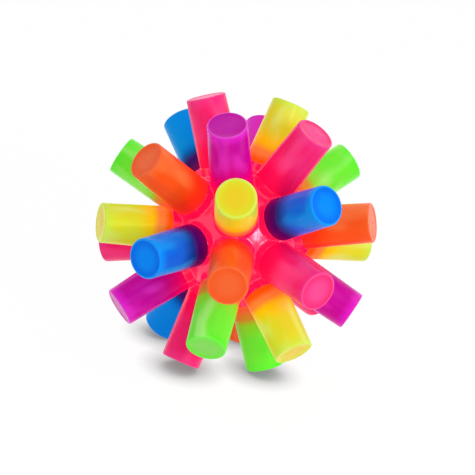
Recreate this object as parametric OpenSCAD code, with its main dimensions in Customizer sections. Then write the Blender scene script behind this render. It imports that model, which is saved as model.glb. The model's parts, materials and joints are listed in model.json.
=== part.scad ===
// Soft spiky sensory ball with a flashing light inside.
// Thirty-two rubber spikes stand on a round pink core, in rings about the X axis: one spike
// at each pole, then rings of five, ten, ten and five. Each spike is poured in its own colour
// and seats on a domed stub of the core. The core is moulded in two halves that meet at X = 0
// round a sealed capsule with the cells, the lamps and the switch that a knock closes.
// Origin: the middle of the ball. +X runs along the poles, and +Z is up when the ball stands
// on four spikes of the two middle rings.

/* [Ball] */
// Distance from the middle of the ball to the flat end of every spike
tip_reach = 52; // [50:0.5:60]
// Thickness of the core's rubber between the light capsule and the skin
core_wall = 8.1; // [7.7:0.1:8.6]

/* [Spikes] */
// Diameter of a spike at its flat end
spike_tip_d = 14.6; // [12:0.1:15]
// Draft of a spike's side in degrees, which frees it from its mould
spike_draft = 1.3; // [0.5:0.1:2.5]
// Radius of the rounded edge round the flat end
spike_edge_r = 0.6; // [0.2:0.1:2]
// Height of the middle of a stub's dome above the core
dome_rise = 0.6; // [0.5:0.1:2]
// Height of a spike's lower rim above the middle of the dome
rim_rise = 4; // [3.6:0.1:5]

/* [Rings] */
// Angle between a pole spike and the ring of five round it
five_tilt = 36; // [35.5:0.1:36.5]
// Angle between a pole spike and the ring of ten beside the middle
ten_tilt = 71.2; // [70.8:0.1:71.8]

/* [Light capsule] */
// Clearance between the lower rim of the cells' cup and the inside of the capsule
capsule_room = 2; // [0.5:0.1:3]
// Wall of the capsule
capsule_wall = 1.2; // [0.8:0.1:1.6]
// Width of the ledge that carries the circuit board
ledge_w = 1; // [0.6:0.1:1.6]
// Thickness of that ledge
ledge_t = 1.2; // [0.8:0.1:2]
// Wall of the lip that centres the lid
lip_wall = 0.8; // [0.5:0.1:1]
// Height of that lip
lip_h = 0.8; // [0.4:0.1:1.5]

/* [Circuit board] */
// Thickness of the circuit board
board_t = 1; // [0.6:0.1:1.6]
// Diameter of the resin drop over the chip
blob_d = 6; // [4:0.5:7]
// Height of the resin drop
blob_h = 1; // [0.6:0.1:1.6]
// Distance of the resin drop's middle in from the board's edge
blob_inset = 6.6; // [5.6:0.1:7]

/* [Button cells] */
// Diameter of a button cell
cell_d = 11.6; // [7.9:0.1:11.6]
// Thickness of a button cell
cell_t = 3.1; // [2.1:0.1:3.1]
// Wall of the cup that holds the cells
cup_wall = 0.9; // [0.6:0.1:1.2]
// Thickness of the metal contact strips
strip_t = 0.3; // [0.2:0.05:0.4]
// Width of the contact strips
strip_w = 2.4; // [1.6:0.1:3]
// Diameter of the end of each contact strip
contact_d = 8; // [5:0.5:9]

/* [Lamps] */
// Diameter of a lamp
led_d = 3; // [2:0.1:3]
// Length of a lamp from its collar's seat to the top of its dome
led_l = 5; // [4:0.1:5.4]
// Diameter of a lamp's collar
led_collar_d = 3.8; // [3.4:0.1:4]
// Thickness of a lamp's collar
led_collar_t = 0.8; // [0.5:0.1:1]
// Distance of a lamp's middle in from the board's edge
led_inset = 4.6; // [3.2:0.1:5]
// Distance between a lamp's two legs
led_pitch = 1.27; // [1.2:0.01:2]
// Diameter of a lamp's leg
leg_d = 0.5; // [0.4:0.05:0.5]
// Length of a lamp's leg below the board
leg_drop = 0.8; // [0.4:0.1:1.2]

/* [Knock switch] */
// Outer diameter of the switch's coil spring
coil_d = 3.2; // [2.8:0.1:4]
// Diameter of the spring's wire
coil_wire_d = 0.5; // [0.3:0.05:0.6]
// Height of the spring
coil_h = 7; // [5:0.5:8]
// Diameter of the pin in the middle of the spring
pin_d = 0.7; // [0.5:0.05:0.8]
// How far the pin stands up past the spring
pin_show = 1; // [0.5:0.1:2]

/* [Fit] */
// Gap between rubber pieces that move on each other, and round the capsule
rubber_gap = 0.3; // [0.2:0.05:0.4]
// Gap between hard pieces that fit in each other
snug_gap = 0.2; // [0.1:0.05:0.3]
// Gap round a leg or a pin in its hole
hole_gap = 0.15; // [0.1:0.05:0.2]

/* [Hidden] */
// How much of the room between neighbours in a ring of ten a stub's dome takes
dome_share = 0.985;
// Number of spikes in the rings next to the poles and next to the middle
five = 5;
ten = 10;
// Turn of the first spike of a ring about the poles, from straight up
ring_start = 54;
five_step = 360 / five;
ten_step = 360 / ten;
// Each spike as its tilt from the pole at -X and its turn about the poles
SPOTS = concat(
    [[0, 0]],
    [for (k = [0:five - 1]) [five_tilt, ring_start + k * five_step]],
    [for (k = [0:ten - 1]) [ten_tilt, ring_start + k * ten_step]],
    [for (k = [0:ten - 1]) [180 - ten_tilt, ring_start + k * ten_step]],
    [for (k = [0:five - 1]) [180 - five_tilt, ring_start + ten_step + k * five_step]],
    [[180, 0]]);
last = len(SPOTS) - 1;
TINTS = [
    "yellow",
    "green", "pink", "purple", "blue", "orange",
    "blue", "orange", "purple", "blue", "pink", "green", "orange", "yellow", "purple", "pink",
    "purple", "green", "blue", "orange", "green", "yellow", "pink", "blue", "pink", "yellow",
    "blue", "pink", "purple", "orange", "green",
    "yellow"];
SHADES = [
    ["yellow", "#dce632"], ["green", "#64f032"], ["pink", "#f52d78"],
    ["purple", "#c80faf"], ["blue", "#007df0"], ["orange", "#fa5f28"]];
LAMPS = ["red", "green", "blue"];
lamp_step = 360 / len(LAMPS);
cell_count = 3;
overrun = 1;
$fn = 48;

// The cells set the cup, the cup the capsule, and the capsule the core
cup_in_r = cell_d / 2 + snug_gap;
cup_r = cup_in_r + cup_wall;
cells_h = cell_count * cell_t;
cup_h = cells_h + 2 * strip_t + cup_wall;
inside_r = norm([cup_r, cup_h]) + capsule_room;
capsule_r = inside_r + capsule_wall;
hollow_r = capsule_r + rubber_gap;
core_r = hollow_r + core_wall;

dome_h = core_r + dome_rise;
// Neighbours in a ring of ten stand closest, so they set how wide a dome can be
dome_r = dome_share * dome_h * sin(ten_tilt) * sin(ten_step / 2);
dish_r = dome_r + rubber_gap;
rim_h = dome_h + rim_rise;
tip_r = spike_tip_d / 2;
rim_r = tip_r + (tip_reach - spike_edge_r - rim_h) * tan(spike_draft);

lip_r = inside_r - snug_gap;
board_r = lip_r - lip_wall - snug_gap;
ledge_r = board_r - ledge_w;

led_reach = board_r - led_inset;
blob_reach = board_r - blob_inset;
slot_w = strip_w + 2 * snug_gap;
leg_hole_d = leg_d + 2 * hole_gap;
coil_lift = snug_gap;
blob_turn = lamp_step / 2;

function spike_name(i) = str("spike_", i < 9 ? "0" : "", i + 1, "_", TINTS[i]);
function shade(i) = [for (s = SHADES) if (s[0] == TINTS[i]) s[1]][0];

// Stands its children on one spike's line, with their Z along the spike
module on_spot(i) {
    rotate([0, -90, 0])
        rotate([0, 0, SPOTS[i][1]])
            rotate([0, SPOTS[i][0], 0])
                children();
}

// The quarter plane above a height, for cutting a round outline
module above(height, reach) {
    translate([0, height]) square([reach, reach]);
}

// Half of the core's ball, on the side of the first pole
module half_ball() {
    side = 2 * core_r + overrun;
    difference() {
        sphere(r = core_r);
        translate([0, -side / 2, -side / 2]) cube([side, side, side]);
    }
}

// The dome that a spike seats on, sunk in the core so that a waist forms between them
module stub() {
    translate([0, 0, dome_h]) sphere(r = dome_r);
}

// One half of the core with its stubs, joined ring by ring from the pole, and the capsule's hollow
module core_half(turn, pole, first_five, first_ten) {
    color("deeppink") difference() {
        union() {
            union() {
                union() {
                    rotate([0, 0, turn]) half_ball();
                    on_spot(pole) stub();
                }
                for (i = [first_five:first_five + five - 1]) on_spot(i) stub();
            }
            for (i = [first_ten:first_ten + ten - 1]) on_spot(i) stub();
        }
        rotate([0, 0, turn]) sphere(r = hollow_r);
    }
}

module core_half_near() {
    core_half(0, 0, 1, 1 + five);
}

module core_half_far() {
    core_half(180, last, 1 + five + 2 * ten, 1 + five + ten);
}

// A tapered spike with a rounded flat end and a dished seat
module spike(i) {
    edge_at = [tip_r - spike_edge_r, tip_reach - spike_edge_r];
    edge = [for (a = [0:15:90]) edge_at + spike_edge_r * [cos(a), sin(a)]];
    color(shade(i)) on_spot(i) rotate_extrude() difference() {
        polygon(concat([[0, rim_h], [rim_r, rim_h]], edge, [[0, tip_reach]]));
        translate([0, dome_h]) circle(r = dish_r);
    }
}

// The outline of one half of the capsule's wall
module capsule_outline() {
    intersection() {
        difference() {
            circle(r = capsule_r);
            circle(r = inside_r);
        }
        above(0, capsule_r + overrun);
    }
}

// Lower half of the capsule, with the ledge for the board and the lip for the lid
module capsule_base() {
    wall_mid_r = capsule_r - capsule_wall / 2;
    color("white", 0.4) rotate_extrude() {
        mirror([0, 1]) capsule_outline();
        translate([ledge_r, -ledge_t]) square([wall_mid_r - ledge_r, ledge_t]);
        translate([lip_r - lip_wall, 0]) square([lip_wall, lip_h]);
    }
}

module capsule_lid() {
    color("white", 0.4) rotate_extrude() capsule_outline();
}

// Places its children at one lamp's spot on the board
module at_lamp(k) {
    rotate([0, 0, k * lamp_step]) translate([led_reach, 0, board_t]) children();
}

// Places its children at a lamp's two legs
module at_legs() {
    for (s = [-1, 1]) translate([0, s * led_pitch / 2, 0]) children();
}

module circuit_board() {
    color("darkgreen") difference() {
        cylinder(h = board_t, r = board_r);
        translate([0, 0, -overrun]) cylinder(h = board_t + 2 * overrun, d = pin_d + 2 * hole_gap);
        for (k = [0:len(LAMPS) - 1]) at_lamp(k) at_legs()
            translate([0, 0, -board_t - overrun]) cylinder(h = board_t + 2 * overrun, d = leg_hole_d);
    }
}

// A drop of black resin, a shallow cap of a larger ball
module chip_blob() {
    drop_r = (blob_d * blob_d / 4 + blob_h * blob_h) / (2 * blob_h);
    color("black") rotate([0, 0, blob_turn]) translate([blob_reach, 0, board_t]) rotate_extrude()
        intersection() {
            translate([0, blob_h - drop_r]) circle(r = drop_r);
            above(0, blob_d);
        }
}

// The open cup under the board that holds the stack of cells, slotted for the lower contact
module cell_cup() {
    color("white") difference() {
        translate([0, 0, -cup_h]) cylinder(h = cup_h, r = cup_r);
        translate([0, 0, cup_wall - cup_h]) cylinder(h = cup_h, r = cup_in_r);
        translate([0, -slot_w / 2, cup_wall - cup_h]) cube([cup_r + overrun, slot_w, cup_h]);
    }
}

// One cell of the stack, counted down from the board
module cell(k) {
    color("silver") translate([0, 0, -strip_t - k * cell_t]) cylinder(h = cell_t, d = cell_d);
}

module contact_top() {
    color("gold") translate([0, 0, -strip_t]) cylinder(h = strip_t, d = contact_d);
}

// A round contact under the cells, with a leg that climbs the cup's slot to the board
module contact_bottom() {
    floor_h = cup_wall - cup_h;
    leg_x = cup_r - strip_t;
    color("gold") union() {
        translate([0, 0, floor_h]) cylinder(h = strip_t, d = contact_d);
        translate([0, -strip_w / 2, floor_h]) cube([cup_r, strip_w, strip_t]);
        translate([leg_x, -strip_w / 2, floor_h]) cube([strip_t, strip_w, -floor_h]);
    }
}

// A round-nosed lamp with its collar and legs
module led(k) {
    led_r = led_d / 2;
    side_h = led_l - led_r;
    leg_l = led_collar_t / 2 + board_t + leg_drop;
    color(LAMPS[k], 0.7) at_lamp(k) union() {
        rotate_extrude() {
            square([led_collar_d / 2, led_collar_t]);
            square([led_r, side_h]);
            translate([0, side_h]) intersection() {
                circle(r = led_r);
                above(0, led_d);
            }
        }
        at_legs() translate([0, 0, led_collar_t / 2 - leg_l]) cylinder(h = leg_l, d = leg_d);
    }
}

// The pin in the middle of the knock switch
module switch_pin() {
    pin_l = board_t + coil_lift + coil_h + pin_show;
    color("silver") cylinder(h = pin_l, d = pin_d);
}

// The knock switch's coil spring, as a plain tube round the pin
module switch_coil() {
    color("silver") translate([0, 0, board_t + coil_lift]) difference() {
        cylinder(h = coil_h, d = coil_d);
        translate([0, 0, -overrun]) cylinder(h = coil_h + 2 * overrun, d = coil_d - 2 * coil_wire_d);
    }
}

core_half_near();
core_half_far();
for (i = [0:last])
    spike(i);
capsule_base();
capsule_lid();
circuit_board();
chip_blob();
cell_cup();
for (k = [1:cell_count])
    cell(k);
contact_top();
contact_bottom();
for (k = [0:len(LAMPS) - 1])
    led(k);
switch_pin();
switch_coil();
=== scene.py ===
"""Looks of a soft spiky sensory ball: its rubber core and spikes, and the flasher sealed inside."""

from __future__ import annotations

import json
import logging
import math
from dataclasses import dataclass, field
from enum import Enum
from typing import Any, Callable

import bpy
import numpy as np
from mathutils import Matrix, Vector


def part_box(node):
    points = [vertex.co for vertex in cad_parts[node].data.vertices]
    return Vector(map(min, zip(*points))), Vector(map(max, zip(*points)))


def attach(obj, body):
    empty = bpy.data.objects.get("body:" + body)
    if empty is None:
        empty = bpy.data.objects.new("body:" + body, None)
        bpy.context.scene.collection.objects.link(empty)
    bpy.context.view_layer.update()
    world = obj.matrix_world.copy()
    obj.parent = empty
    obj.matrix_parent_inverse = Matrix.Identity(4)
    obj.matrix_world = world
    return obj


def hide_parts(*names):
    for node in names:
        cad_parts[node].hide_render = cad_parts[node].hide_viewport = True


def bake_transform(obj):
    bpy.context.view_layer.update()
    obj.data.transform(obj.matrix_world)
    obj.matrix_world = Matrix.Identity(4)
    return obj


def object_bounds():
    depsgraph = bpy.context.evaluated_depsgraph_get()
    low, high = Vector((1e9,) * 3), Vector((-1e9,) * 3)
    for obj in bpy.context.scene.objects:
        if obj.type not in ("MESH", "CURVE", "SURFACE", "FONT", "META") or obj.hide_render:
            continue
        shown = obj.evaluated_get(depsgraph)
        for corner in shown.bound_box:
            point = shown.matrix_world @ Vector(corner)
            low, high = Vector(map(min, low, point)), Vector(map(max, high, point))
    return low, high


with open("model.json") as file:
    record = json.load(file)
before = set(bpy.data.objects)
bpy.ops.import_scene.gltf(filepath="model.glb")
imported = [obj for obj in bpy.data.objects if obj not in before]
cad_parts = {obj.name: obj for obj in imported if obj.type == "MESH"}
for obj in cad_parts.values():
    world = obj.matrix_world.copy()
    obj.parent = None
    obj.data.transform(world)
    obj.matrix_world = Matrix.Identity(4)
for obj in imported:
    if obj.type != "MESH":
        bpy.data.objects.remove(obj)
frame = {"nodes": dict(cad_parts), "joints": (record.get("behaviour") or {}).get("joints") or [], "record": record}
CAD_BOX = [list(corner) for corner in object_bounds()]

LOG = logging.getLogger("sensory_ball")
MM = 0.001
CORE_BODY = "core"

Colour = tuple[float, float, float]
Triple = tuple[float, float, float]
Span = tuple[float, float]
Array = np.ndarray
Faces = list[list[int]]
Socket = bpy.types.NodeSocket
Material = bpy.types.Material
Piece = bpy.types.Object


def paint(red: int, green: int, blue: int) -> Colour:
    """Turns a paint card's red, green and blue, each 0 to 255, into the linear light that shaders take."""
    shares = [value / 255 for value in (red, green, blue)]
    return tuple(s / 12.92 if s <= 0.04045 else ((s + 0.055) / 1.055) ** 2.4 for s in shares)


def grey(level: float) -> tuple[float, float, float, float]:
    """An even grey, as a shader's socket takes it."""
    return (level, level, level, 1.0)


def bends() -> list[tuple[dict[str, Any], Vector]]:
    """Each spike's joint, with the unit vector from the ball's middle along the spike."""
    joints = [joint for joint in frame["joints"] if joint["name"].startswith("bend_")]
    return [(joint, Vector(joint["pos_m"]).normalized()) for joint in joints]


# Shader maths


class Channel:
    """A number that varies over a surface, whose operators add Math nodes to its material."""

    def __init__(self, box: Bench, socket: Socket) -> None:
        """Wraps the output socket that gives the number, and keeps the bench that it is on."""
        self.box = box
        self.socket = socket

    def _math(self, operation: str, *values: Channel | float) -> Channel:
        """Adds one Math node and returns its result."""
        made = self.box.node("ShaderNodeMath", {"operation": operation}, dict(enumerate(values)))
        return Channel(self.box, made.outputs[0])

    def __add__(self, other: Channel | float) -> Channel:
        """Adds."""
        return self._math("ADD", self, other)

    def __sub__(self, other: Channel | float) -> Channel:
        """Takes away."""
        return self._math("SUBTRACT", self, other)

    def __rsub__(self, other: float) -> Channel:
        """Takes away from a plain number."""
        return self._math("SUBTRACT", other, self)

    def __mul__(self, other: Channel | float) -> Channel:
        """Multiplies."""
        return self._math("MULTIPLY", self, other)

    def or_more(self, other: Channel | float) -> Channel:
        """The greater of the two."""
        return self._math("MAXIMUM", self, other)

    def between(self, low: float, high: float) -> Channel:
        """Runs smoothly from 0 at low to 1 at high, which may also be the smaller of the two.

        Args:
            low: The value that gives 0.
            high: The value that gives 1.

        Returns:
            The share, from 0 to 1.
        """
        inputs = {"Value": self, "From Min": low, "From Max": high}
        made = self.box.node("ShaderNodeMapRange", {"interpolation_type": "SMOOTHSTEP"}, inputs)
        return Channel(self.box, made.outputs["Result"])


class Bench:
    """A tree of shader nodes, with a single way to add any of them."""

    def __init__(self, tree: bpy.types.NodeTree) -> None:
        """Starts work on the tree of a material or of the world."""
        self.tree = tree

    def node(
        self,
        kind: str,
        settings: dict[str, Any] | None = None,
        inputs: dict[str | int, Any] | None = None,
    ) -> bpy.types.Node:
        """Adds a node, sets it up and joins it.

        Args:
            kind: The node's type.
            settings: The node's own settings, set first. "stops" is a ramp's list of places and colours.
            inputs: Values or links for its sockets, by name or number.

        Returns:
            The node.
        """
        made = self.tree.nodes.new(kind)
        for name, value in (settings or {}).items():
            if name == "stops":
                self._set_stops(made.color_ramp, value)
            else:
                setattr(made, name, value)
        for key, value in (inputs or {}).items():
            self.join(made.inputs[key], value)
        return made

    def join(self, socket: Socket, value: Any) -> None:
        """Links a socket to another one, or sets its value.

        Args:
            socket: The input socket.
            value: A channel or an output socket to link, or a plain value.
        """
        if isinstance(value, Channel):
            self.tree.links.new(value.socket, socket)
        elif isinstance(value, Socket):
            self.tree.links.new(value, socket)
        else:
            socket.default_value = value

    @staticmethod
    def _set_stops(ramp: bpy.types.ColorRamp, stops: list[tuple[float, Colour]]) -> None:
        """Gives a ramp its stops.

        Args:
            ramp: The ramp.
            stops: Its places and colours, from low to high.
        """
        while len(ramp.elements) < len(stops):
            ramp.elements.new(1)
        for element, (place, colour) in zip(ramp.elements, stops):
            element.position = place
            element.color = (*colour, 1)

    def seen_rays(self) -> Channel:
        """Tells apart the rays that see a background.

        Returns:
            1 for the camera's rays and for those in gloss or clear plastic, and 0 for the rest.
        """
        path = self.node("ShaderNodeLightPath")
        names = ("Is Camera Ray", "Is Glossy Ray", "Is Transmission Ray")
        camera, glossy, clear = (Channel(self, path.outputs[name]) for name in names)
        return camera.or_more(glossy).or_more(clear)


class Paintbox(Bench):
    """One material's nodes. The three numbers are those of the Mix node's colour sockets."""

    FIRST_COLOUR, SECOND_COLOUR, MIXED_COLOUR = 6, 7, 2
    NOISE_MIDDLE = 0.5

    def __init__(self, name: str) -> None:
        """Starts a material that holds only its Principled shader and output.

        Args:
            name: The material's name.
        """
        self.material = bpy.data.materials.new(name)
        self.material.use_nodes = True
        super().__init__(self.material.node_tree)
        self.shader = self.tree.nodes["Principled BSDF"]
        self.output = self.tree.nodes["Material Output"]

    def attribute(self, name: str) -> Channel:
        """Reads a number that the mesh carries."""
        made = self.node("ShaderNodeAttribute", {"attribute_type": "GEOMETRY", "attribute_name": name})
        return Channel(self, made.outputs["Fac"])

    def attribute_vector(self, name: str) -> Socket:
        """Reads a vector that the mesh carries."""
        made = self.node("ShaderNodeAttribute", {"attribute_type": "GEOMETRY", "attribute_name": name})
        return made.outputs["Vector"]

    def place(self) -> Socket:
        """The point's place in the part's frame, in metres."""
        return self.node("ShaderNodeTexCoord").outputs["Object"]

    def stretched(self, vector: Socket, scale: Triple) -> Socket:
        """A vector with each of its parts multiplied by its own factor."""
        made = self.node("ShaderNodeVectorMath", {"operation": "MULTIPLY"}, {0: vector, 1: scale})
        return made.outputs[0]

    def length(self, vector: Socket) -> Channel:
        """The length of a vector."""
        made = self.node("ShaderNodeVectorMath", {"operation": "LENGTH"}, {0: vector})
        return Channel(self, made.outputs["Value"])

    def noise(self, vector: Socket, scale: float, detail: float = 2.0) -> Channel:
        """Cloudy noise about 0.5, with scale clouds to a unit, and finer where detail is high."""
        made = self.node("ShaderNodeTexNoise", None, {"Vector": vector, "Scale": scale, "Detail": detail})
        return Channel(self, made.outputs["Fac"])

    def patches(self, noise: Channel, span: Span) -> Channel:
        """Where noise lies above its middle, from 0 to 1 over a span."""
        return (noise - self.NOISE_MIDDLE).between(*span)

    def mix(self, share: Channel | float, first: Any, second: Any) -> Socket:
        """Mixes two colours.

        Args:
            share: 0 for the first and 1 for the second.
            first: A colour or a socket.
            second: A colour or a socket.

        Returns:
            The mixed colour.
        """
        colours = [(*c, 1) if isinstance(c, tuple) else c for c in (first, second)]
        inputs = {"Factor": share, self.FIRST_COLOUR: colours[0], self.SECOND_COLOUR: colours[1]}
        return self.node("ShaderNodeMix", {"data_type": "RGBA"}, inputs).outputs[self.MIXED_COLOUR]

    def ramp(self, share: Channel, stops: list[tuple[float, Colour]]) -> Socket:
        """A colour that runs through the stops as the share goes from 0 to 1."""
        settings = {"stops": stops}
        return self.node("ShaderNodeValToRGB", settings, {"Fac": share}).outputs["Color"]

    def bump(self, height: Channel, strength: float, distance: float) -> Socket:
        """A bumpy normal, where heights from 0 to 1 stand for the distance in metres."""
        inputs = {"Height": height, "Strength": strength, "Distance": distance}
        return self.node("ShaderNodeBump", None, inputs).outputs["Normal"]

    def finish(self, **sockets: Any) -> Material:
        """Sets the Principled shader's sockets.

        Args:
            **sockets: Values or links, by the socket's name with underscores for its spaces.

        Returns:
            The material.
        """
        for name, value in sockets.items():
            value = (*value, 1) if isinstance(value, tuple) and name.endswith("Color") else value
            self.join(self.shader.inputs[name.replace("_", " ")], value)
        return self.material


# Rubber


class Tint(Enum):
    """The colours that the spikes come in."""

    YELLOW = "yellow"
    GREEN = "green"
    PINK = "pink"
    PURPLE = "purple"
    BLUE = "blue"
    ORANGE = "orange"


@dataclass(frozen=True)
class Gloss:
    """The skin of the moulded rubber, and a painted glow in the rubber's own colour that stands in for light
    passing through it.
    """

    # Strength of the painted glow, the rubber's own colour given off as light.
    painted_glow: float = 0.4
    level: float = 0.28
    index: float = 1.4
    soft_share: float = 0.2
    soft_depth: float = 3 * MM
    hue_share: float = 0.8

    def sheen(self, colour: Colour) -> tuple[float, float, float, float]:
        """The tint of the skin's shine, part white and part the rubber's own hue."""
        most = max(colour)
        return (*(1 - self.hue_share + self.hue_share * part / most for part in colour), 1)

    def dress(self, box: Paintbox, colour: Socket, hue: Colour, rough: Channel, normal: Socket) -> Material:
        """Finishes a rubber material.

        Args:
            box: The material's paint box.
            colour: The colour all over the surface.
            hue: The colour that the shine takes its tint from.
            rough: The roughness all over the surface.
            normal: The bumpy normal.

        Returns:
            The material.
        """
        return box.finish(
            Base_Color=colour,
            Roughness=rough,
            Normal=normal,
            # Painted glow: the colour is also given off as light, so shaded sides stay bright.
            Emission_Color=colour,
            Emission_Strength=self.painted_glow,
            Specular_IOR_Level=self.level,
            Specular_Tint=self.sheen(hue),
            IOR=self.index,
            Subsurface_Weight=self.soft_share,
            Subsurface_Scale=self.soft_depth,
        )


@dataclass(frozen=True)
class Mottle:
    """The clouds, streaks and grain of a spike's rubber, measured in radii of its end. The streaks and the pale
    cloud patches are painted highlights; the clouds also make bumps and roughness.
    """

    # The clouds: their pale patches are painted highlights, and they also make bumps and roughness.
    cloud_stretch: Triple = (0.9, 0.9, 0.4)
    cloud_span: Span = (-0.02, 0.2)
    cloud_share: float = 0.8
    # Painted highlights: pale streaks along the upper side, in the rim's colour.
    highlight_streak_stretch: Triple = (1.6, 1.6, 0.3)
    highlight_streak_span: Span = (-0.1, 0.35)
    highlight_streak_share: float = 0.2
    upper_span: Span = (0.2, 0.5)
    band_waver: float = 0.16
    disc_span: Span = (0.35, 0.95)
    disc_share: float = 0.7
    grain_scale: float = 9.0
    grain_height: float = 0.004
    depth: float = 1.1 * MM
    least_rough: float = 0.18
    rough_spread: float = 0.08


@dataclass(frozen=True)
class SpikeRubber:
    """One shot of translucent rubber, whose colour shifts towards pink at its root.

    Going up, the side is coloured foot, plug, above, side and top, and the flat end has end inside a paler rim
    that is a painted highlight on its rounded edge.
    """

    foot: Colour
    plug: Colour
    above: Colour
    side: Colour
    top: Colour
    # The rim's colour, paler, painted as a highlight on the rounded edge of the end and in the streaks.
    rim_highlight: Colour
    end: Colour
    # The colour of the painted highlight patches, also painted on the backlit spikes.
    cloud: Colour
    rim_highlight_from: float = 0.95
    band_places: tuple[float, ...] = (0.0, 0.05, 0.14, 0.19, 0.29, 0.52, 0.84, 0.97)
    gloss: Gloss = Gloss()
    mottle: Mottle = Mottle()

    def bands(self, box: Paintbox, share: Channel) -> Socket:
        """Mixes the colours up the side, where the share runs from 0 at the pink root to 1 at the top."""
        colours = (self.foot, self.foot, self.plug, self.plug, self.above, self.side, self.side, self.top)
        return box.ramp(share, list(zip(self.band_places, colours)))

    def disc(self, box: Paintbox) -> Socket:
        """Mixes the colours of the flat end, from its middle to its paler rim, a painted highlight on the rounded
        edge.

        Args:
            box: The material's paint box.

        Returns:
            The colour.
        """
        reach = box.attribute("skin_reach")
        outer = reach.between(*self.mottle.disc_span) * self.mottle.disc_share
        middle = box.mix(outer, self.end, self.side)
        # Painted highlight: the paler colour on the end's rounded rim.
        return box.mix(reach.between(self.rim_highlight_from, 1.0), middle, self.rim_highlight)

    def material(self, tint: Tint) -> Material:
        """Paints the rubber from the root to the flat end.

        Args:
            tint: Which of the six rubbers this is.

        Returns:
            The material.
        """
        box, mottle = Paintbox(f"rubber_{tint.value}"), self.mottle
        round_it = box.attribute_vector("skin_round")
        height = box.attribute("skin_height")
        clouds = box.noise(box.stretched(round_it, mottle.cloud_stretch), scale=1.0, detail=1.0)
        highlight_streaks = box.noise(box.stretched(round_it, mottle.highlight_streak_stretch), scale=1.0, detail=1.0)
        waver = (clouds - box.NOISE_MIDDLE) * (1 - height) * mottle.band_waver
        upper = height.between(*mottle.upper_span)
        # Painted highlights: pale cloud patches, only on the upper side.
        cloud_share = box.patches(clouds, mottle.cloud_span) * upper * mottle.cloud_share
        # Painted highlights: pale streaks in the rim's colour, only on the upper side.
        highlight_streak_share = box.patches(highlight_streaks, mottle.highlight_streak_span) * upper * mottle.highlight_streak_share
        with_highlight_patches = box.mix(cloud_share, self.bands(box, height + waver), self.cloud)
        with_highlight_streaks = box.mix(highlight_streak_share, with_highlight_patches, self.rim_highlight)
        # Painted light: three spikes painted paler, towards the cloud colour, as if lit through from behind.
        body = box.mix(box.attribute("skin_pale") * upper, with_highlight_streaks, self.cloud)
        colour = box.mix(box.attribute("skin_end"), body, self.disc(box))
        grain = box.noise(round_it, mottle.grain_scale)
        rough = grain * mottle.rough_spread + mottle.least_rough + clouds * mottle.rough_spread
        uneven = box.bump(clouds + grain * mottle.grain_height, strength=1.0, distance=mottle.depth)
        return self.gloss.dress(box, colour, self.side, rough, uneven)


# In each rubber the rim and cloud colours are paler ones, painted as highlights.
RUBBERS: dict[Tint, SpikeRubber] = {
    Tint.YELLOW: SpikeRubber(
        foot=paint(254, 98, 12),
        plug=paint(255, 148, 66),
        above=paint(255, 208, 4),
        side=paint(222, 228, 44),
        top=paint(208, 238, 70),
        rim_highlight=paint(218, 238, 90),
        end=paint(236, 208, 42),
        cloud=paint(222, 246, 118),
        rim_highlight_from=0.89,
    ),
    Tint.GREEN: SpikeRubber(
        foot=paint(232, 108, 62),
        plug=paint(206, 146, 50),
        above=paint(140, 224, 48),
        side=paint(112, 244, 58),
        top=paint(96, 246, 48),
        rim_highlight=paint(120, 246, 84),
        end=paint(136, 228, 94),
        cloud=paint(172, 253, 130),
    ),
    Tint.PINK: SpikeRubber(
        foot=paint(250, 12, 86),
        plug=paint(250, 16, 92),
        above=paint(250, 20, 96),
        side=paint(248, 32, 110),
        top=paint(248, 46, 132),
        rim_highlight=paint(252, 84, 152),
        end=paint(250, 74, 148),
        cloud=paint(252, 70, 140),
    ),
    Tint.PURPLE: SpikeRubber(
        foot=paint(240, 0, 108),
        plug=paint(220, 0, 124),
        above=paint(204, 0, 140),
        side=paint(198, 2, 158),
        top=paint(226, 30, 204),
        rim_highlight=paint(226, 84, 208),
        end=paint(196, 34, 168),
        cloud=paint(228, 46, 198),
        rim_highlight_from=0.97,
    ),
    Tint.BLUE: SpikeRubber(
        foot=paint(104, 0, 90),
        plug=paint(66, 4, 108),
        above=paint(0, 52, 148),
        side=paint(0, 102, 232),
        top=paint(0, 138, 255),
        rim_highlight=paint(24, 158, 255),
        end=paint(0, 140, 255),
        cloud=paint(4, 150, 248),
    ),
    Tint.ORANGE: SpikeRubber(
        foot=paint(252, 48, 44),
        plug=paint(250, 56, 26),
        above=paint(250, 72, 18),
        side=paint(249, 88, 28),
        top=paint(248, 94, 36),
        rim_highlight=paint(253, 112, 62),
        end=paint(248, 106, 54),
        cloud=paint(253, 126, 66),
    ),
}


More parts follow.
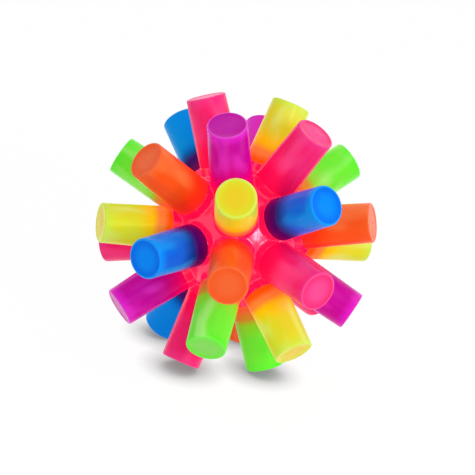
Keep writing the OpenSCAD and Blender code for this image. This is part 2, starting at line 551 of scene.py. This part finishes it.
@dataclass(frozen=True)
class CoreRubber:
    """The hot pink rubber of the core, with painted shade a little deeper between the roots, and paler in wide
    clouds.
    """

    # Painted shade: the deeper pink low between the roots.
    painted_shade: Colour = paint(252, 8, 84)
    skin: Colour = paint(255, 14, 88)
    pale: Colour = paint(255, 36, 108)
    shine: Colour = paint(255, 188, 236)
    gloss: Gloss = Gloss(level=1.0, index=1.5, hue_share=0.7)
    painted_shade_below: float = 24.0 * MM
    skin_above: float = 26.6 * MM
    cloud_scale: float = 30.0
    cloud_span: Span = (-0.1, 0.3)
    cloud_share: float = 0.6
    grain_scale: float = 500.0
    grain_strength: float = 0.04
    grain_depth: float = 0.2 * MM
    least_rough: float = 0.12
    rough_spread: float = 0.08

    def material(self) -> Material:
        """Paints the core.

        Returns:
            The material.
        """
        box = Paintbox("core_rubber")
        place = box.place()
        clouds = box.noise(place, self.cloud_scale, detail=1.0)
        grain = box.noise(place, self.grain_scale)
        # Painted shade: deeper pink close to the ball's middle, between the roots, paler up the roots.
        rise = box.length(place).between(self.painted_shade_below, self.skin_above)
        pale_share = box.patches(clouds, self.cloud_span) * self.cloud_share
        colour = box.mix(pale_share, box.mix(rise, self.painted_shade, self.skin), self.pale)
        rough = grain * self.rough_spread + self.least_rough
        normal = box.bump(grain, self.grain_strength, self.grain_depth)
        return self.gloss.dress(box, colour, self.shine, rough, normal)


# Finishes of the light inside


@dataclass(frozen=True)
class Plastic:
    """Moulded plastic or cast resin, clear or solid, with faint clouds and a fine grain."""

    name: str
    colour: Colour
    cloud: Colour
    rough: float
    clear: float = 0.0
    index: float = 1.5
    cloud_scale: float = 260.0
    cloud_span: Span = (-0.15, 0.25)
    cloud_rough: float = 0.08
    grain_scale: float = 2600.0
    grain_rough: float = 0.12
    grain_strength: float = 0.3
    grain_depth: float = 0.02 * MM

    def material(self) -> Material:
        """Paints the plastic.

        Returns:
            The material.
        """
        box = Paintbox(self.name)
        place = box.place()
        clouds = box.noise(place, self.cloud_scale)
        grain = box.noise(place, self.grain_scale, detail=3.0)
        return box.finish(
            Base_Color=box.mix(box.patches(clouds, self.cloud_span), self.colour, self.cloud),
            Roughness=grain * self.grain_rough + clouds * self.cloud_rough + self.rough,
            Normal=box.bump(grain, self.grain_strength, self.grain_depth),
            Transmission_Weight=self.clear,
            IOR=self.index,
        )


@dataclass(frozen=True)
class Metal:
    """Bare or plated metal, brushed along one way and duller in patches."""

    name: str
    colour: Colour
    dull: Colour
    rough: float
    brushed: Triple
    patch_scale: float = 420.0
    patch_span: Span = (0.42, 0.72)
    patch_rough: float = 0.14
    line_rough: float = 0.16
    line_strength: float = 0.15
    line_depth: float = 0.01 * MM

    def material(self) -> Material:
        """Paints the metal.

        Returns:
            The material.
        """
        box = Paintbox(self.name)
        place = box.place()
        patches = box.noise(place, self.patch_scale, detail=3.0)
        lines = box.noise(box.stretched(place, self.brushed), scale=1.0)
        return box.finish(
            Base_Color=box.mix(patches.between(*self.patch_span), self.colour, self.dull),
            Metallic=1.0,
            Roughness=lines * self.line_rough + patches * self.patch_rough + self.rough,
            Normal=box.bump(lines, self.line_strength, self.line_depth),
        )


@dataclass(frozen=True)
class Lacquer:
    """Green lacquer of a circuit board, with its copper tracks raised under it."""

    name: str
    bare: Colour
    track: Colour
    ring_scale: float = 190.0
    ring_span: Span = (0.55, 0.7)
    break_scale: float = 150.0
    break_span: Span = (0.46, 0.5)
    track_strength: float = 0.6
    track_height: float = 0.04 * MM
    grain_scale: float = 1800.0
    grain_rough: float = 0.14
    least_rough: float = 0.2

    def material(self) -> Material:
        """Paints the board.

        Returns:
            The material.
        """
        box = Paintbox(self.name)
        place = box.place()
        settings = {"wave_type": "RINGS", "rings_direction": "Z"}
        waves = box.node("ShaderNodeTexWave", settings, {"Vector": place, "Scale": self.ring_scale})
        rings = Channel(box, waves.outputs["Fac"]).between(*self.ring_span)
        tracks = rings * box.noise(place, self.break_scale, detail=0.0).between(*self.break_span)
        grain = box.noise(place, self.grain_scale)
        return box.finish(
            Base_Color=box.mix(tracks, self.bare, self.track),
            Roughness=grain * self.grain_rough + self.least_rough,
            Normal=box.bump(tracks, self.track_strength, self.track_height),
        )


LIGHT_FINISHES: tuple[Plastic | Metal | Lacquer, ...] = (
    Plastic("clear_plastic", paint(245, 248, 250), paint(232, 240, 246), 0.04, clear=0.9, index=1.59),
    Plastic("resin_black", paint(14, 14, 15), paint(26, 25, 27), 0.2),
    Plastic("cup_white", paint(238, 237, 232), paint(228, 227, 220), 0.38),
    Plastic("lamp_red", paint(224, 24, 20), paint(238, 60, 44), 0.06, clear=0.6, index=1.55),
    Plastic("lamp_green", paint(28, 190, 52), paint(60, 214, 84), 0.06, clear=0.6, index=1.55),
    Plastic("lamp_blue", paint(30, 64, 226), paint(62, 104, 240), 0.06, clear=0.6, index=1.55),
    Metal("cell_steel", paint(204, 203, 198), paint(176, 175, 168), 0.16, (300.0, 300.0, 5000.0)),
    Metal("contact_brass", paint(226, 186, 104), paint(186, 142, 74), 0.18, (300.0, 4000.0, 300.0)),
    Metal("switch_steel", paint(214, 214, 212), paint(184, 184, 184), 0.1, (900.0, 900.0, 900.0)),
    Lacquer("board_green", paint(20, 92, 46), paint(44, 132, 66)),
)


# Mesh helpers

# A unit vector with more than this share along Z counts as steep
STEEP = 0.9
# The eight corners of a grid cell
CORNERS = [(i, j, k) for i in (0, 1) for j in (0, 1) for k in (0, 1)]
# The columns of an outline, the last three only in a spike's
RADIUS, HEIGHT, SIDE_SHARE, END_REACH, ON_END = range(5)


def new_piece(name: str, points: Array, faces: Array | Faces, material: Material) -> Piece:
    """Makes a smooth-shaded mesh object.

    Args:
        name: The piece's name.
        points: Its vertices in metres, one row each.
        faces: Its faces, as rows of vertex numbers.
        material: Its material.

    Returns:
        The object, linked into the scene.
    """
    mesh = bpy.data.meshes.new(name)
    rows = faces.tolist() if isinstance(faces, np.ndarray) else faces
    mesh.from_pydata(points.tolist(), [], rows)
    mesh.validate()
    mesh.shade_smooth()
    mesh.materials.append(material)
    piece = bpy.data.objects.new(name, mesh)
    bpy.context.scene.collection.objects.link(piece)
    return piece


def carry(piece: Piece, name: str, kind: str, values: Array) -> None:
    """Stores a value at each of a piece's vertices.

    Args:
        piece: The piece.
        name: The attribute's name.
        kind: FLOAT for numbers, or FLOAT_VECTOR for vectors.
        values: One number or row for each vertex.
    """
    made = piece.data.attributes.new(name, kind, "POINT")
    slot = "value" if kind == "FLOAT" else "vector"
    made.data.foreach_set(slot, np.ascontiguousarray(values, np.float32).ravel())


def unit_circle(around: int) -> Array:
    """Rows of cosine and sine, evenly round a circle."""
    turn = np.arange(around) * 2 * math.pi / around
    return np.stack([np.cos(turn), np.sin(turn)], 1)


def ring_quads(low: int, high: int, around: int) -> Faces:
    """Quads between two rings of vertices, each given by its first one."""
    pairs = [(k, (k + 1) % around) for k in range(around)]
    return [[low + k, low + after, high + after, high + k] for k, after in pairs]


def lathe_faces(rings: int, around: int) -> Faces:
    """Quads between the rings of a turned mesh, and a fan at each end round one middle point.

    Args:
        rings: How many full rings there are, from first to last.
        around: How many vertices are in each ring.

    Returns:
        The faces. The vertices are the rings in order, then the first end's middle and the last end's.
    """
    faces = []
    for ring in range(rings - 1):
        faces += ring_quads(ring * around, (ring + 1) * around, around)
    first, last = rings * around, rings * around + 1
    top = (rings - 1) * around
    for k in range(around):
        after = (k + 1) % around
        faces.append([after, k, first])
        faces.append([top + k, top + after, last])
    return faces


def square_to(direction: Vector) -> tuple[Vector, Vector]:
    """Finds two unit vectors that stand square to a direction and to each other.

    Args:
        direction: The direction, as a unit vector.

    Returns:
        The two vectors.
    """
    aside = Vector((0, 0, 1)) if abs(direction.z) < STEEP else Vector((1, 0, 0))
    across = aside.cross(direction).normalized()
    return across, direction.cross(across).normalized()


def turned(outline: Array, direction: Vector, around: int) -> tuple[Array, Faces]:
    """Turns an outline about a line through the ball's middle, with its ends closed on the line.

    Args:
        outline: Rows that start with a radius and a height, from the lower end to the upper one.
        direction: The line, as a unit vector.
        around: How many vertices go round.

    Returns:
        The vertices and the faces.
    """
    across, up = (np.array(v) for v in square_to(direction))
    line = np.array(direction)
    spun = unit_circle(around)
    circle = spun[:, :1] * across + spun[:, 1:] * up
    rings = outline[:, RADIUS, None, None] * circle + outline[:, HEIGHT, None, None] * line
    ends = outline[[0, -1], HEIGHT, None] * line
    return np.vstack([rings.reshape(-1, 3), ends]), lathe_faces(len(outline), around)


def tube(path: Array, radius: float, around: int, closed: bool, pole: Triple) -> tuple[Array, Faces]:
    """Sweeps a round wire along a path.

    Args:
        path: The path's points, one row each.
        radius: The wire's radius.
        around: How many vertices go round the wire.
        closed: Whether the path's end meets its start.
        pole: A direction that the path never takes.

    Returns:
        The vertices and the faces.
    """
    count = len(path)
    if closed:
        along = np.roll(path, -1, 0) - np.roll(path, 1, 0)
    else:
        along = np.gradient(path, axis=0)
    along /= np.linalg.norm(along, axis=1, keepdims=True)
    side = np.cross(along, pole)
    side /= np.linalg.norm(side, axis=1, keepdims=True)
    up = np.cross(side, along)
    spun = radius * unit_circle(around)
    rings = path[:, None, :] + spun[:, :1] * side[:, None, :] + spun[:, 1:] * up[:, None, :]
    points = rings.reshape(-1, 3)
    if not closed:
        points = np.vstack([points, path[0], path[-1]])
        return points, lathe_faces(count, around)
    faces = []
    for ring in range(count):
        faces += ring_quads(ring * around, (ring + 1) % count * around, around)
    return points, faces


def at_corner(table: Array, corner: tuple[int, int, int]) -> Array:
    """The values of a table of grid points at one corner of every cell."""
    return table[tuple(slice(c, c + size - 1) for c, size in zip(corner, table.shape))]


@dataclass
class SkinNet:
    """Meshes the surface where a distance is 0, with one vertex in each grid cell that it crosses.

    The grid is set off by a part of a step, so that none of its points lies on the surface by symmetry.
    """

    distance: Callable[[Array], Array]
    reach: float
    step: float
    offset_part: int = 7
    probe_share: float = 0.02
    pulls: int = 3
    least_slope: float = 0.2

    def build(self) -> tuple[Array, Array]:
        """Meshes the surface.

        Returns:
            The vertices and the quads.
        """
        axis = np.arange(-self.reach, self.reach + self.step, self.step) + self.step / self.offset_part
        grid = np.stack(np.meshgrid(axis, axis, axis, indexing="ij"), -1)
        values = np.stack([self.distance(slab) for slab in grid])
        inside = values < 0
        holding = sum(at_corner(inside, corner).astype(np.int8) for corner in CORNERS)
        active = (holding > 0) & (holding < len(CORNERS))
        number = np.full(active.shape, -1)
        number[active] = np.arange(active.sum())
        spots = axis[0] + (np.argwhere(active) + self.middles(values, active)) * self.step
        return self.pulled(spots), self.quads(inside, number)

    @staticmethod
    def middles(values: Array, active: Array) -> Array:
        """Finds the mean of the places where the surface cuts each active cell's edges.

        Args:
            values: The distance at each grid point.
            active: Which cells the surface crosses.

        Returns:
            One place for each active cell, in steps from its lowest corner.
        """
        count = int(active.sum())
        total, hits = np.zeros((count, 3)), np.zeros(count)
        for first in CORNERS:
            for along in range(3):
                if first[along]:
                    continue
                second = tuple(1 if n == along else c for n, c in enumerate(first))
                a, b = (at_corner(values, corner)[active] for corner in (first, second))
                crossed = (a < 0) != (b < 0)
                spot = np.tile(np.array(first, float), (count, 1))
                spot[:, along] += np.where(crossed, a / np.where(crossed, a - b, 1), 0)
                total += spot * crossed[:, None]
                hits += crossed
        return total / hits[:, None]

    def pulled(self, points: Array) -> Array:
        """Pulls points onto the surface, down the slope of the distance.

        Args:
            points: Rows of places close to the surface.

        Returns:
            Rows of places on it.
        """
        nudge = self.step * self.probe_share
        shifts = nudge * np.eye(3)
        for _ in range(self.pulls):
            here = self.distance(points)
            slope = np.stack([self.distance(points + shift) - here for shift in shifts], 1) / nudge
            steepness = np.maximum((slope**2).sum(1), self.least_slope)
            move = here[:, None] * slope / steepness[:, None]
            points = points - np.clip(move, -self.step / 2, self.step / 2)
        return points

    @staticmethod
    def quads(inside: Array, number: Array) -> Array:
        """Joins the four cells round each grid edge that the surface crosses.

        Args:
            inside: Whether each grid point is inside.
            number: The vertex of each cell.

        Returns:
            The quads, which face outward.
        """
        count = len(inside)
        faces = []
        for along in range(3):
            u, v = (along + 1) % 3, (along + 2) % 3
            low = tuple(slice(0, count - 1) if n == along else slice(1, count - 1) for n in range(3))
            high = tuple(slice(1, count) if n == along else slice(1, count - 1) for n in range(3))
            flips = inside[low] != inside[high]
            spots = np.argwhere(flips) + np.array([0 if n == along else 1 for n in range(3)])
            outward = inside[low][flips]
            ring = []
            for du, dv in ((-1, -1), (0, -1), (0, 0), (-1, 0)):
                shift = np.zeros(3, int)
                shift[u], shift[v] = du, dv
                ring.append(number[tuple((spots + shift).T)])
            quads = np.stack(ring, 1)
            quads[~outward] = quads[~outward][:, ::-1]
            faces.append(quads)
        return np.vstack(faces)


# Spikes


@dataclass(frozen=True)
class SpikeShape:
    """The sizes of a spike's skin, in millimetres from the middle of the ball."""

    base: float = 25.4
    colour_edge: float = 26.6
    tip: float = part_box("spike_32_yellow")[1].x / MM
    tip_radius: float = 7.3
    draft: float = 1.3
    edge_radius: float = 0.6
    end_dish: float = 0.16
    dish_from: float = 0.96
    dish_to: float = 0.8
    base_shares: Span = (0.5, 0.97)
    gate_radius: float = 0.55
    gate_depth: float = 0.25
    gate_shares: tuple[float, ...] = (1.3, 1.0, 0.8, 0.4)

    def radius(self, height: float | Array) -> float | Array:
        """The radius of the drafted side at a height."""
        return self.tip_radius + (self.tip - self.edge_radius - height) * math.tan(math.radians(self.draft))


@dataclass
class Spikes:
    """The thirty-two spikes, each a turned skin over its solid. One shows its gate, and three are painted paler,
    as painted light shining through them from behind.
    """

    shape: SpikeShape = SpikeShape()
    around: int = 72
    side_rings: int = 34
    edge_rings: int = 6
    end_rings: int = 14
    still_below: float = 27.2
    bent_above: float = 39.0
    gated: str = "spike_30_orange"
    # Painted light: these three are painted paler, as if lit through from behind.
    painted_backlit: tuple[str, ...] = ("spike_07_blue", "spike_10_blue", "spike_17_purple")
    paint_shift: float = 3.7
    materials: dict[Tint, Material] = field(default_factory=dict)

    def outline(self, gated: bool) -> Array:
        """Draws the skin's outline from its hidden base to the middle of its end.

        Args:
            gated: Whether the end has the small pit that the mould's gate leaves.

        Returns:
            Rows of radius, height, share of the side, reach over the end, and whether it is on the end.
        """
        s = self.shape
        flat = s.tip_radius - s.edge_radius
        rows = [(share * s.radius(s.base), s.base, 0.0, 1.0, 0.0) for share in s.base_shares]
        top = s.tip - s.edge_radius
        for height in np.linspace(s.base, top, self.side_rings):
            share = (height - s.colour_edge) / (s.tip - s.colour_edge)
            rows.append((s.radius(height), height, max(share, 0.0), 1.0, 0.0))
        for step in range(1, self.edge_rings + 1):
            turn = math.pi / 2 * step / self.edge_rings
            radius, height = flat + s.edge_radius * math.cos(turn), top + s.edge_radius * math.sin(turn)
            rows.append((radius, height, 1.0, 1.0, step / self.edge_rings))
        reaches = [1 - k / self.end_rings for k in range(1, self.end_rings)]
        if gated:
            reaches += [s.gate_radius * share / flat for share in s.gate_shares]
        for reach in sorted(reaches, reverse=True):
            share = min(max((s.dish_from - reach) / (s.dish_from - s.dish_to), 0.0), 1.0)
            sunk = s.end_dish * share * share * (3 - 2 * share)
            if gated and reach * flat < s.gate_radius:
                sunk += s.gate_depth
            rows.append((flat * reach, s.tip - sunk, 1.0, reach, 1.0))
        return np.array(rows)

    def skin(self, node: str, direction: Vector, tint: Tint) -> Piece:
        """Builds one spike's skin on its line.

        Args:
            node: The spike's node.
            direction: The unit vector from the middle of the ball along the spike.
            tint: The spike's colour.

        Returns:
            The piece.
        """
        rows = self.outline(node == self.gated)
        points, faces = turned(rows, direction, self.around)
        piece = new_piece(f"{node}_skin", points * MM, faces, self.materials[tint])
        self.mark(piece, node, rows)
        return piece

    def spread(self, column: Array) -> Array:
        """An outline's values at every vertex of its skin, the two middle points last."""
        return np.concatenate([np.repeat(column, self.around), column[[0, -1]]])

    def mark(self, piece: Piece, node: str, rows: Array) -> None:
        """Stores what the rubber's paint reads at each vertex of a skin.

        Args:
            piece: The skin.
            node: The spike's node.
            rows: The skin's outline.
        """
        share = rows[:, RADIUS] / self.shape.tip_radius
        place = np.zeros((len(rows) * self.around + 2, 3))
        place[:-2, :2] = (share[:, None, None] * unit_circle(self.around)).reshape(-1, 2)
        place[:, 2] = self.spread(rows[:, HEIGHT] / self.shape.tip_radius)
        place += int(node.split("_")[1]) * self.paint_shift
        carry(piece, "skin_round", "FLOAT_VECTOR", place)
        # Marks the spikes painted paler with light from behind.
        carry(piece, "skin_pale", "FLOAT", np.full(len(place), float(node in self.painted_backlit)))
        side, reach, end = (self.spread(rows[:, column]) for column in (SIDE_SHARE, END_REACH, ON_END))
        reach[-1] = 0.0
        for name, values in (("skin_height", side), ("skin_reach", reach), ("skin_end", end)):
            carry(piece, name, "FLOAT", values)

    def build(self) -> list[Piece]:
        """Builds every spike's skin on its line.

        Returns:
            The pieces.
        """
        self.materials = {tint: RUBBERS[tint].material(tint) for tint in Tint}
        made = []
        for joint, direction in bends():
            node = next(n for n in frame["nodes"] if n.startswith(joint["child"] + "_"))
            tint = Tint(node.rsplit("_", 1)[1])
            piece = self.skin(node, direction, tint)
            start, end = direction * self.still_below * MM, direction * self.bent_above * MM
            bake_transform(piece)
            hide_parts(node)
            made.append(piece)
        return made


# Core


@dataclass
class Core:
    """The pink core, one skin over both halves, with roots that run together in saddles."""

    shape: SpikeShape = SpikeShape()
    radius: float = 24.6
    capsule_gap: float = 0.3
    root_top: float = 26.8
    root_bottom: float = 12.0
    lip: float = 0.05
    flare: float = 0.04
    flare_height: float = 3.2
    rounding: float = 0.3
    blend: float = 0.15
    away_span: Span = (-12.0, 60.0)
    step: float = 0.44
    margin: float = 1.5
    hollow_step: float = 1.0
    seam_radius: float = 0.09
    seam_sunk: float = 0.03
    seam_steps: int = 480
    seam_sides: int = 8
    search_below: float = 2.0
    search_above: float = 1.0
    halvings: int = 24
    hollow: float = 0.0
    directions: list[Vector] = field(default_factory=list)

    def outside(self, points: Array) -> Array:
        """The distance to the outer skin, below 0 inside, where near surfaces melt together.

        Args:
            points: Rows of places in millimetres.

        Returns:
            One distance for each place.
        """
        total = np.exp((self.radius - np.linalg.norm(points, axis=-1)) / self.blend)
        squared = (points * points).sum(-1)
        for direction in self.directions:
            height = points @ np.array(direction)
            off = np.sqrt(np.maximum(squared - height * height, 0))
            low = np.clip((self.root_top - height) / self.flare_height, 0, 1)
            side = off - (self.shape.radius(height) + self.lip + self.flare * low * low - self.rounding)
            ends = np.maximum(height - (self.root_top - self.rounding), self.root_bottom - height)
            away = (
                np.minimum(np.maximum(side, ends), 0)
                + np.hypot(np.maximum(side, 0), np.maximum(ends, 0))
                - self.rounding
            )
            total += np.exp(-np.clip(away, *self.away_span) / self.blend)
        return -self.blend * np.log(total)

    def within(self, points: Array) -> Array:
        """The distance to the wall of the hollow in the middle, below 0 in the rubber."""
        return self.hollow - np.linalg.norm(points, axis=-1)

    def build(self) -> list[Piece]:
        """Builds the core's skin and its parting line.

        Returns:
            The pieces.
        """
        self.directions = [direction for _, direction in bends()]
        self.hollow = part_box("capsule_base")[1].x / MM + self.capsule_gap
        material = CoreRubber().material()
        outer, outer_faces = SkinNet(self.outside, self.root_top + self.margin, self.step).build()
        reach = self.hollow + 2 * self.hollow_step
        inner, inner_faces = SkinNet(self.within, reach, self.hollow_step).build()
        faces = np.vstack([outer_faces, inner_faces + len(outer)])
        skin = new_piece("core_skin", np.vstack([outer, inner]) * MM, faces, material)
        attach(skin, CORE_BODY)
        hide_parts("core_half_near", "core_half_far")
        seam = self.parting_line(material)
        return [skin, seam]

    def parting_line(self, material: Material) -> Piece:
        """Builds the fine raised line where the two halves are welded.

        Args:
            material: The core's rubber.

        Returns:
            The piece.
        """
        turn = np.linspace(0, 2 * math.pi, self.seam_steps, endpoint=False)
        spokes = np.stack([np.zeros_like(turn), np.cos(turn), np.sin(turn)], 1)
        low = np.full(self.seam_steps, self.radius - self.search_below)
        high = np.full(self.seam_steps, self.root_top + self.search_above)
        for _ in range(self.halvings):
            middle = (low + high) / 2
            inside = self.outside(spokes * middle[:, None]) < 0
            low, high = np.where(inside, middle, low), np.where(inside, high, middle)
        path = spokes * (low - self.seam_sunk)[:, None]
        points, faces = tube(path * MM, self.seam_radius * MM, self.seam_sides, closed=True, pole=(1, 0, 0))
        seam = new_piece("core_parting_line", points, faces, material)
        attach(seam, CORE_BODY)
        return seam


# The light inside


@dataclass(frozen=True)
class CellShape:
    """The rolled edges of a button cell, in millimetres."""

    foot_radius: float = 0.3
    shoulder_drop: float = 0.55
    shoulder_in: float = 0.55
    seal_in: float = 0.95
    seal_drop: float = 0.3
    cap_in: float = 1.25
    cap_edge: float = 0.3
    corner_points: int = 6
    around: int = 96

    def outline(self, radius: float, low: float, high: float) -> Array:
        """The cell's outline, from its can's foot up over the crimp and the seal to its cap.

        Args:
            radius: The can's radius.
            low: The height of the can's foot.
            high: The height of the cap's top.

        Returns:
            Rows of radius and height.
        """
        turns = np.linspace(0, math.pi / 2, self.corner_points)
        quarter = [(1 - math.cos(a), math.sin(a)) for a in turns]
        foot = [(radius - self.foot_radius * (1 - s), low + self.foot_radius * c) for c, s in quarter]
        edge, crimp = high - self.shoulder_drop, self.shoulder_drop - self.cap_edge / 2
        shoulder = [(radius - self.shoulder_in * c, edge + crimp * s) for c, s in quarter]
        seal = [(radius - inset, high - self.seal_drop) for inset in (self.seal_in, self.cap_in)]
        side = radius - self.cap_in
        cap = [(side - self.cap_edge * c, high - self.cap_edge * (1 - s)) for c, s in quarter]
        return np.array([(radius / 2, low), *foot, *shoulder, *seal, *cap, (radius / 2, high)])


@dataclass
class FlasherLight:
    """The sealed light: its clear capsule, board, lamps, cells and knock switch."""

    cell_shape: CellShape = CellShape()
    coil_node: str = "switch_coil"
    coil_wire: float = 0.25
    coil_turns: int = 9
    coil_steps: int = 28
    coil_sides: int = 10
    coil_end_pitch: float = 0.52
    finishes: dict[str, Material] = field(default_factory=dict)

    def build(self) -> list[Piece]:
        """Dresses the light's solids, and builds its cells and its switch's coil.

        Returns:
            The pieces that are built.
        """
        self.finishes = {finish.name: finish.material() for finish in LIGHT_FINISHES}
        made = [self.coil()]
        for part in frame["record"]["subparts"]:
            name, slot = part["node"], part["material_slot"]
            if name.startswith("cell_") and slot == "cell_steel":
                made.append(self.cell(name, slot))
            elif slot in self.finishes and name != self.coil_node:
                self.dress(frame["nodes"][name], self.finishes[slot])
        return made

    @staticmethod
    def dress(node: Piece, material: Material) -> None:
        """Gives one of the frame's solids its finish."""
        for place in node.material_slots:
            place.material = material

    def cell(self, node: str, slot: str) -> Piece:
        """Builds a button cell in the space of its solid.

        Args:
            node: The cell's node.
            slot: Its finish.

        Returns:
            The piece.
        """
        low, high = (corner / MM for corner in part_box(node))
        outline = self.cell_shape.outline((high.x - low.x) / 2, low.z, high.z)
        points, faces = turned(outline, Vector((0, 0, 1)), self.cell_shape.around)
        piece = new_piece(f"{node}_can", points * MM, faces, self.finishes[slot])
        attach(piece, CORE_BODY)
        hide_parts(node)
        return piece

    def coil(self) -> Piece:
        """Builds the knock switch's coil spring, with a closed turn at each end.

        Returns:
            The piece.
        """
        low, high = (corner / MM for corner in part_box(self.coil_node))
        radius = (high.x - low.x) / 2 - self.coil_wire
        rise = high.z - low.z - 2 * self.coil_wire
        turns = np.linspace(0, self.coil_turns, self.coil_turns * self.coil_steps + 1)
        climb = np.interp(
            turns,
            [0, 1, self.coil_turns - 1, self.coil_turns],
            [0, self.coil_end_pitch, rise - self.coil_end_pitch, rise],
        )
        angle = turns * 2 * math.pi
        path = np.stack(
            [
                (low.x + high.x) / 2 + radius * np.cos(angle),
                (low.y + high.y) / 2 + radius * np.sin(angle),
                low.z + self.coil_wire + climb,
            ],
            1,
        )
        points, faces = tube(path * MM, self.coil_wire * MM, self.coil_sides, closed=False, pole=(0, 0, 1))
        piece = new_piece("switch_coil_spring", points, faces, self.finishes["switch_steel"])
        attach(piece, self.coil_node)
        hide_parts(self.coil_node)
        return piece


# Camera, floor and light


@dataclass(frozen=True)
class Camera:
    """A camera at the photograph's angle in degrees, aimed at the middle of the ball."""

    azimuth: float = 19.73
    elevation: float = 20.91
    roll: float = 11.57
    distance: float = 0.6912
    lens: float = 140.97
    sensor: float = 36.0
    shift: Span = (0.0032, -0.0101)
    clip: Span = (0.01, 20.0)

    def build(self) -> None:
        """Sets up the camera."""
        turn, rise = math.radians(self.azimuth), math.radians(self.elevation)
        back = Vector((-math.sin(turn) * math.cos(rise), -math.cos(turn) * math.cos(rise), math.sin(rise)))
        level = (-back).to_track_quat("-Z", "Y").to_matrix()
        rolled = level @ Matrix.Rotation(math.radians(self.roll), 3, "Z")
        data = bpy.data.cameras.new("camera")
        data.lens = self.lens
        data.sensor_width = self.sensor
        data.shift_x, data.shift_y = self.shift
        data.clip_start, data.clip_end = self.clip
        camera = bpy.data.objects.new("camera", data)
        camera.matrix_world = Matrix.Translation(back * self.distance) @ rolled.to_4x4()
        bpy.context.scene.collection.objects.link(camera)
        bpy.context.scene.camera = camera


@dataclass(frozen=True)
class SoftBox:
    """A soft oblong lamp that faces the ball."""

    name: str
    place: Triple
    size: Span
    level: float

    def build(self) -> None:
        """Hangs the lamp, with the power that gives its level on a white card at the ball."""
        place = Vector(self.place)
        data = bpy.data.lights.new(self.name, "AREA")
        data.shape = "RECTANGLE"
        data.size, data.size_y = self.size
        data.energy = self.level * math.pi**2 * place.length_squared
        lamp = bpy.data.objects.new(self.name, data)
        facing = (-place).to_track_quat("-Z", "Y").to_matrix().to_4x4()
        lamp.matrix_world = Matrix.Translation(place) @ facing
        bpy.context.scene.collection.objects.link(lamp)


@dataclass(frozen=True)
class Studio:
    """A white floor under a white sky, with two soft lamps on the camera's right."""

    floor_half: float = 3.0
    bounce_albedo: float = 0.8
    seen_albedo: float = 0.06
    floor_lift: float = 0.97
    # The painted shadow on the floor: its reach, its lean and how dark it gets.
    painted_shadow_reach: float = 0.0115
    painted_shadow_lean: Triple = (0.45, -0.1, 0.89)
    painted_shadow_dark: float = 0.76
    sky_level: float = 0.38
    lamps: tuple[SoftBox, ...] = (
        SoftBox("high_lamp", place=(0.45, -0.53, 0.9), size=(0.2, 0.2), level=0.06),
        SoftBox("front_lamp", place=(0.265, -0.817, 0.33), size=(0.17, 0.34), level=0.22),
    )

    def build(self) -> None:
        """Builds the floor, the sky and the lamps."""
        self.floor()
        self.sky()
        for lamp in self.lamps:
            lamp.build()
        bpy.context.scene.view_settings.view_transform = "Standard"

    def floor(self) -> None:
        """Builds the floor at the ball's lowest point. It looks white, with a painted shadow that darkens it close
        under the ball.
        """
        half, low = self.floor_half, CAD_BOX[0][2]
        box = Paintbox("floor_white")
        # Painted shadow: the floor's glow dims where the ball is close above it.
        reach = {"Distance": self.painted_shadow_reach, "Normal": self.painted_shadow_lean}
        near = box.node("ShaderNodeAmbientOcclusion", None, reach)
        clear = Channel(box, near.outputs["AO"])
        lift_with_painted_shadow = (clear * clear * self.painted_shadow_dark + (1 - self.painted_shadow_dark)) * self.floor_lift
        painted_glow = box.node("ShaderNodeEmission", None, {"Strength": lift_with_painted_shadow})
        card = box.node("ShaderNodeBsdfDiffuse", None, {"Color": grey(self.seen_albedo)})
        shown = box.node("ShaderNodeAddShader", None, {0: card.outputs[0], 1: painted_glow.outputs[0]})
        bounce = box.node("ShaderNodeBsdfDiffuse", None, {"Color": grey(self.bounce_albedo)})
        choice = {0: box.seen_rays(), 1: bounce.outputs[0], 2: shown.outputs[0]}
        both = box.node("ShaderNodeMixShader", None, choice)
        box.join(box.output.inputs["Surface"], both.outputs[0])
        corners = np.array([(-half, -half, low), (half, -half, low), (half, half, low), (-half, half, low)])
        new_piece("floor", corners, [[0, 1, 2, 3]], box.material)

    def sky(self) -> None:
        """Makes the world an even pale grey that is seen as white."""
        world = bpy.data.worlds.new("white_sky")
        world.use_nodes = True
        bench = Bench(world.node_tree)
        back = world.node_tree.nodes["Background"]
        bench.join(back.inputs["Color"], grey(1.0))
        bench.join(back.inputs["Strength"], bench.seen_rays() * (1 - self.sky_level) + self.sky_level)
        bpy.context.scene.world = world


def main() -> None:
    """Builds the ball's looks, its floor, light and camera, and logs the faces of each piece built."""
    logging.basicConfig(level=logging.INFO, format="%(message)s")
    Camera().build()
    Studio().build()
    for builder in (Core(), Spikes(), FlasherLight()):
        for piece in builder.build():
            LOG.info("%s: %d faces", piece.name, len(piece.data.polygons))


if __name__ == "__main__":
    main()
